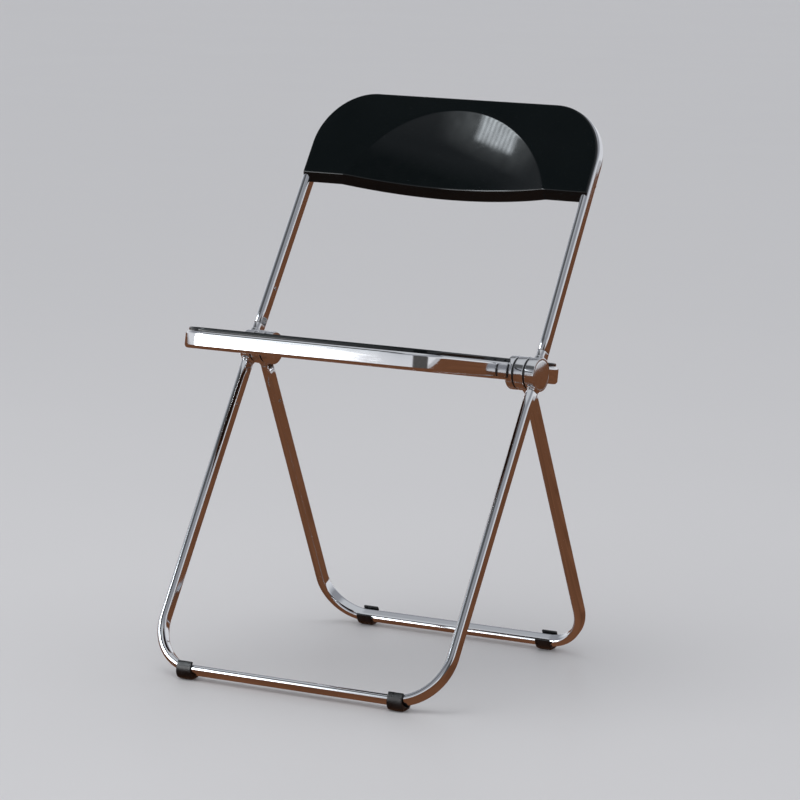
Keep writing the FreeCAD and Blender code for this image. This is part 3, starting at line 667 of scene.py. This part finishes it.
def make_panel():
    """A moulded panel: a proud flange on the ring, and a soft dip inside it."""
    high = SEAT_RISE + RAIL_HEIGHT / 2
    top = high + PANEL_PROUD
    tray_edge = RAIL_WIDTH + PANEL_PLAY

    def surface(depth_in):
        edge = np.clip(PANEL_EDGE - depth_in, 0, None)
        rounding = PANEL_EDGE - math.sqrt(max(PANEL_EDGE ** 2 - edge ** 2, 0))
        dip = smooth_step((depth_in - PANEL_DIP_START) / PANEL_DIP_RUN)
        bowl = smooth_step((depth_in - PANEL_DIP_START) / PANEL_BOWL_RUN)
        return top - rounding - PANEL_DIP * dip - PANEL_BOWL * bowl

    steps = [0, 0.15, 0.4, 0.8, 1.3, 2.0, 3.0, 6.0, 9.0, 12.0] + list(np.arange(14.0, 62.0, 2.0))
    steps += list(np.arange(62.0, 190.0, 6.0))

    def row(depth_in, height):
        """One closed outline. Deep in, it shrinks towards the panel's middle."""
        past = PANEL_INSET + depth_in - PANEL_SHRINK_START
        if past < 0:
            outline = seat_outline(PANEL_INSET + depth_in)
        else:
            base = seat_outline(PANEL_SHRINK_START)
            share = past / (SEAT_HALF_WIDTH - PANEL_SHRINK_START)
            centre = np.array([0, (SEAT_REAR - SEAT_FRONT) / 2])
            outline = centre + (base - centre) * (1 - share)
        return np.concatenate([outline, np.full((len(outline), 1), height)], 1)

    rows = [row(tray_edge - PANEL_INSET, high - PANEL_SKIN), row(tray_edge - PANEL_INSET, high + 0.3),
            row(0.3, high + 0.3), row(0.0, high + 0.6)]
    rows += [row(step, surface(step)) for step in steps]
    upper = len(rows)
    under_steps = [step for step in steps if step > tray_edge - PANEL_INSET][::-1]
    rows += [row(step, min(surface(step) - PANEL_SKIN, high - PANEL_SKIN)) for step in under_steps]
    count = len(rows[0])
    points = np.concatenate(rows)
    faces = strip_faces(upper, count)
    faces += strip_faces(len(under_steps), count, upper * count)
    top_end, under_end = (upper - 1) * count, upper * count
    faces.append(tuple(top_end + k for k in range(count)))
    faces.append(tuple(under_end + k for k in reversed(range(count))))
    last = (len(rows) - 1) * count
    for k in range(count):
        following = (k + 1) % count
        faces.append((last + k, last + following, following, k))
    add_piece("moulded_seat_panel", points, faces, SEAT_PLANE, PLASTIC, "seat", "black_shell", ["seat_panel"])


# ---------------------------------------------------------------- feet

def bulged(start, end, bulge, steps=12):
    """An arc between two points that stands out from its chord, away from the origin."""
    start, end = np.array(start), np.array(end)
    chord = end - start
    outwards = np.array([-chord[1], chord[0]]) / np.linalg.norm(chord)
    outwards *= np.sign(outwards @ (start + end))
    radius = (chord @ chord / 4 + bulge ** 2) / (2 * bulge)
    centre = (start + end) / 2 + outwards * (bulge - radius)
    first, last = (math.degrees(math.atan2(*(point - centre)[::-1])) for point in (start, end))
    return arc_points(centre, radius, first, first + (last - first + 180) % 360 - 180, steps)


def bar_height():
    """The floor bars' centre above the floor, in millimetres."""
    return (HUB.z / MM) - FRONT_BAR * math.cos(math.radians(FRONT_LEAN))


def foot_outline(lean):
    """The foot's C-shaped section: outwards and up from the bar's centre."""
    slope = math.radians(lean)

    def place(reach, along_frame):
        return (reach * math.cos(slope) - along_frame * math.sin(slope),
                along_frame * math.cos(slope) + reach * math.sin(slope))

    side, grip = TUBE_DEPTH / 2 + FOOT_WALL, TUBE_DEPTH / 2 - FOOT_HOOK
    high, low = place(side, FOOT_LIP), place(-side, FOOT_LIP)
    floor_level = -bar_height()
    toe, heel = (FOOT_SOLE[1], floor_level), (FOOT_SOLE[0], floor_level)
    straight = (TUBE_DEPTH - TUBE_WIDTH) / 2
    catch = math.degrees(math.acos((grip - straight) / HALF_TUBE))
    bed = np.concatenate([arc_points((-straight, 0), HALF_TUBE, 180 - catch, 270, 10),
                          arc_points((straight, 0), HALF_TUBE, -90, catch, 10)])
    inside = [place(-grip, FOOT_LIP)] + [place(*point) for point in bed] + [place(grip, FOOT_LIP)]
    return np.concatenate([bulged(high, FOOT_FACE, FOOT_BULGE[0]), bulged(FOOT_FACE, toe, FOOT_BULGE[1])[1:],
                           bulged(heel, low, FOOT_BULGE[2]), inside])


def shrunk(outline, amount):
    """A closed outline with each point moved inwards, square to its neighbours."""
    before, after = np.roll(outline, 1, 0), np.roll(outline, -1, 0)
    heading = after - before
    normal = np.stack([-heading[:, 1], heading[:, 0]], 1) / np.linalg.norm(heading, axis=1)[:, None]
    turn = np.sum(outline[:, 0] * after[:, 1] - after[:, 0] * outline[:, 1])
    return outline + normal * amount * np.sign(turn)


def make_feet():
    for node, body, lean, forward, plane, bar in (
            ("front_foot", "front_frame", FRONT_LEAN, -1, FRONT_PLANE, FRONT_BAR),
            ("rear_foot", "rear_legs", REAR_LEAN, 1, REAR_PLANE, REAR_BAR)):
        centre = plane @ Vector((0, -bar * MM, 0))
        for side in ("_r", "_l"):
            low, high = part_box(node + side)
            half = (high.x - low.x) / 2 / MM
            ends = [(half - FOOT_EDGE * (1 - math.sin(a)), FOOT_EDGE * (1 - math.cos(a)))
                    for a in np.radians((0, 30, 60, 90))][::-1]
            ends += [(x, 0) for x in np.linspace(half - FOOT_EDGE, 0, 14)[1:-1]]
            stations = ends + [(-x, inset) for x, inset in reversed(ends)]
            rings = []
            for x, inset in stations:
                ring = shrunk(foot_outline(lean), inset)
                past = max(abs(x) - (half - FOOT_END_ROUND), 0)
                rise = FOOT_END_ROUND - math.sqrt(max(FOOT_END_ROUND ** 2 - past ** 2, 0))
                height = np.maximum(ring[:, 1], -bar_height() + rise)
                rings.append(np.stack([np.full(len(ring), x), forward * ring[:, 0], height], 1))
            points, faces = closed_sleeve(rings)
            place = Matrix.Translation((middle(node + side).x, centre.y, centre.z))
            add_piece("rubber_" + node + side, points, faces, place, RUBBER, body, "black_rubber",
                      [node + side], smooth=50)


# ---------------------------------------------------------------- small parts that stay as the CAD made them

def dress(nodes, material):
    for node in nodes:
        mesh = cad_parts[node].data
        mesh.materials.clear()
        mesh.materials.append(material)
        mesh.set_sharp_from_angle(angle=math.radians(35))


def pairs(*names):
    return [name + side for name in names for side in ("_r", "_l")]


def dress_small_parts():
    dress(pairs("hub_axle", "axle_nut", "axle_spring_washer", "fold_stop_pin"), STEEL)
    dress(["back_hoop_rivets", "front_leg_rivets", "rear_leg_rivets", "backrest_screws", "seat_panel_screws",
           "hub_inner_disc_screws"], STEEL)
    dress(pairs("outer_hub_washer", "inner_hub_washer"), WASHER)


# ---------------------------------------------------------------- stage

CAMERA_YAW, CAMERA_PITCH, CAMERA_ROLL = 31.0, 9.06, 0.68     # degrees, yaw towards the chair's right
CAMERA_FROM_HUB = Vector((2.8460, -4.7137, 0.8262))
CAMERA_LENS = 183.04
CAMERA_SHIFT = (0.0001, -0.0033)


def make_camera():
    yaw, pitch, roll = (math.radians(a) for a in (CAMERA_YAW, CAMERA_PITCH, CAMERA_ROLL))
    forward = Vector((-math.sin(yaw) * math.cos(pitch), math.cos(yaw) * math.cos(pitch), -math.sin(pitch)))
    right = Vector((math.cos(yaw), math.sin(yaw), 0))
    up = right.cross(forward)
    turned_right = right * math.cos(roll) + up * math.sin(roll)
    turned_up = up * math.cos(roll) - right * math.sin(roll)
    data = bpy.data.cameras.new("camera")
    data.lens, data.sensor_width = CAMERA_LENS, 36.0
    data.shift_x, data.shift_y = CAMERA_SHIFT
    data.clip_end = 100
    camera = bpy.data.objects.new("camera", data)
    camera.matrix_world = Matrix.Translation(HUB + CAMERA_FROM_HUB) @ Matrix(
        (turned_right, turned_up, -forward)).transposed().to_4x4()
    bpy.context.scene.collection.objects.link(camera)
    bpy.context.scene.camera = camera


FLOOR_REACH = 30.0


def make_floor():
    recipe = Recipe("pale_floor")
    cloud = recipe.noise(1.3, 4.0)
    grain = recipe.noise(260.0, 4.0)
    colour = recipe.blend(cloud, (0.575, 0.57, 0.575), (0.61, 0.605, 0.61))
    material = recipe.finish(colour, recipe.fit(cloud, 0.3, 0.7, 0.42, 0.52), grain, 0.00003)
    mesh = bpy.data.meshes.new("floor")
    corners = [(x * FLOOR_REACH, y * FLOOR_REACH, 0) for x, y in ((-1, -1), (1, -1), (1, 1), (-1, 1))]
    mesh.from_pydata(corners, [], [(0, 1, 2, 3)])
    mesh.materials.append(material)
    floor = bpy.data.objects.new("floor", mesh)
    bpy.context.scene.collection.objects.link(floor)


def soft_box(name, direction, distance, size, power):
    data = bpy.data.lights.new(name, "AREA")
    data.shape = "RECTANGLE"
    data.size, data.size_y = size
    data.energy = power
    light = bpy.data.objects.new(name, data)
    light.location = HUB + Vector(direction).normalized() * distance
    light.rotation_mode = "QUATERNION"
    light.rotation_quaternion = (HUB - light.location).to_track_quat("-Z", "Y")
    bpy.context.scene.collection.objects.link(light)
    light.visible_camera = False
    return light


def glow_card(name, place, target, size, colour, strength, softness, stripes=0.0):
    """A glowing card that shows only in reflections. It is clear from behind and fades out at its edges."""
    recipe = Recipe(name)
    tree = recipe.tree
    tree.nodes.remove(recipe.shader)
    place_on_card = tree.nodes.new("ShaderNodeTexCoord").outputs["Generated"]
    split = recipe.node("ShaderNodeSeparateXYZ", Vector=place_on_card)
    cover = 1.0
    for axis in range(2):
        off_middle = recipe.add(recipe.add(split.outputs[axis], 0.5, "SUBTRACT"), 0, "ABSOLUTE")
        from_edge = recipe.add(0.5, off_middle, "SUBTRACT")
        cover = recipe.add(cover, recipe.fit(from_edge, 0.0, softness, 0.0, 1.0), "MULTIPLY")
    mottle = recipe.node("ShaderNodeTexNoise", Vector=recipe.place, Scale=6.0, Detail=5.0).outputs["Fac"]
    glow = recipe.add(strength, recipe.fit(mottle, 0.3, 0.7, 0.75, 1.25), "MULTIPLY")
    if stripes:
        wave = recipe.add(recipe.add(split.outputs[0], stripes, "MULTIPLY"), 0, "SINE")
        glow = recipe.add(glow, recipe.fit(wave, -1.0, 1.0, 0.5, 1.0), "MULTIPLY")
    shine = recipe.node("ShaderNodeEmission", Color=(*colour, 1.0), Strength=glow)
    clear = recipe.node("ShaderNodeBsdfTransparent")
    front = recipe.add(1.0, recipe.node("ShaderNodeNewGeometry").outputs["Backfacing"], "SUBTRACT")
    mix = tree.nodes.new("ShaderNodeMixShader")
    output = tree.nodes["Material Output"]
    tree.links.new(recipe.add(front, cover, "MULTIPLY"), mix.inputs[0])
    tree.links.new(clear.outputs[0], mix.inputs[1])
    tree.links.new(shine.outputs[0], mix.inputs[2])
    tree.links.new(mix.outputs[0], output.inputs["Surface"])
    mesh = bpy.data.meshes.new(name)
    x, y = size[0] / 2, size[1] / 2
    mesh.from_pydata([(x, -y, 0), (-x, -y, 0), (-x, y, 0), (x, y, 0)], [], [(3, 2, 1, 0)])
    mesh.materials.append(recipe.material)
    card = bpy.data.objects.new(name, mesh)
    card.location = place
    card.rotation_mode = "QUATERNION"
    card.rotation_quaternion = (target - place).to_track_quat("Z", "Y")
    bpy.context.scene.collection.objects.link(card)
    card.visible_camera = card.visible_diffuse = card.visible_shadow = False
    return card


def from_hub(left_of_front, elevation, distance):
    """A place round the hubs: degrees from straight ahead of the chair towards its left, and degrees up."""
    turn, rise = math.radians(left_of_front), math.radians(elevation)
    return HUB + distance * Vector((-math.sin(turn) * math.cos(rise), -math.cos(turn) * math.cos(rise),
                                    math.sin(rise)))


# Cards round the chair: degrees left of straight ahead, degrees up, distance, size, colour, strength,
# softness and stripes
CARDS = {
    "dark_ceiling": (25, 47, 3.6, (4.6, 1.7), (0.92, 0.96, 1.0), 0.10, 0.18, 0.0),
    "dark_furniture": (-60, 6, 3.5, (3.0, 2.0), (1.0, 0.97, 0.94), 0.085, 0.10, 0.0),
    "window": (46, 20, 3.2, (2.1, 1.4), (0.90, 0.96, 1.0), 2.0, 0.25, 0.0),
    "window_pane": (48, 23.5, 3.1, (0.80, 0.60), (0.88, 0.95, 1.0), 15.0, 0.10, 60.0),
    "low_window": (45, 5.5, 3.1, (1.9, 0.62), (0.97, 0.98, 1.0), 8.0, 0.12, 0.0),
}
FLOOR_GLOW = (0.150, 0.064, 0.033)
FLOOR_GLOW_WIDTH = 14.0
FLOOR_GLOW_REACH = (-8.0, 7.0)      # towards the camera, and past the chair
OVERHEAD_POWER, OVERHEAD_DISTANCE, OVERHEAD_SIZE = 22, 2.8, (2.6, 2.6)
OVERHEAD_DIRECTION = (-0.25, -0.35, 1.0)
DAYLIGHT = (0.93, 0.94, 0.97, 1)
DAYLIGHT_STRENGTH = 0.95
# What reflections see of the room, by the height of their direction: 0 at and below level, 1 straight up
ROOM = ((0.0, (0.84, 0.85, 0.88)), (0.20, (0.72, 0.74, 0.78)), (0.45, (0.30, 0.31, 0.34)),
        (0.72, (0.32, 0.33, 0.36)), (0.85, (0.62, 0.64, 0.67)))


def make_lights():
    overhead = soft_box("overhead", OVERHEAD_DIRECTION, OVERHEAD_DISTANCE, OVERHEAD_SIZE, OVERHEAD_POWER)
    overhead.visible_glossy = False
    for name, (left, up, distance, size, colour, strength, softness, stripes) in CARDS.items():
        glow_card(name, from_hub(left, up, distance), HUB, size, colour, strength, softness, stripes)
    near, far = FLOOR_GLOW_REACH
    turn = Matrix.Rotation(math.radians(CAMERA_YAW), 3, "Z")
    on_floor = Vector((HUB.x, HUB.y, MM)) + turn @ Vector((0, (near + far) / 2, 0))
    floor_glow = glow_card("floor_glow", on_floor, on_floor + Vector((0, 0, 1)),
                           (FLOOR_GLOW_WIDTH, far - near), FLOOR_GLOW, 1.0, 0.01)
    floor_glow.rotation_quaternion = turn.to_quaternion()
    make_world()


def make_world():
    """Even light for matt surfaces. In reflections the room is bright round the horizon and dim overhead."""
    world = bpy.data.worlds.new("studio")
    world.use_nodes = True
    bpy.context.scene.world = world
    nodes, links = world.node_tree.nodes, world.node_tree.links
    background = nodes["Background"]
    direction = nodes.new("ShaderNodeTexCoord")
    height = nodes.new("ShaderNodeSeparateXYZ")
    links.new(direction.outputs["Generated"], height.inputs[0])
    room = nodes.new("ShaderNodeValToRGB")
    links.new(height.outputs["Z"], room.inputs["Fac"])
    elements = room.color_ramp.elements
    while len(elements) < len(ROOM):
        elements.new(0.5)
    for element, (place, colour) in zip(elements, ROOM):
        element.position = place
        element.color = (*colour, 1)
    ray = nodes.new("ShaderNodeLightPath")
    pick = nodes.new("ShaderNodeMix")
    pick.data_type = "RGBA"
    links.new(ray.outputs["Is Glossy Ray"], pick.inputs["Factor"])
    pick.inputs[6].default_value = DAYLIGHT
    links.new(room.outputs["Color"], pick.inputs[7])
    links.new(pick.outputs[2], background.inputs["Color"])
    background.inputs["Strength"].default_value = DAYLIGHT_STRENGTH


bpy.context.scene.view_settings.view_transform = "Standard"
make_camera()
make_tubes()
make_hubs()
make_backrest()
make_ring()
make_panel()
make_feet()
dress_small_parts()
make_floor()
make_lights()
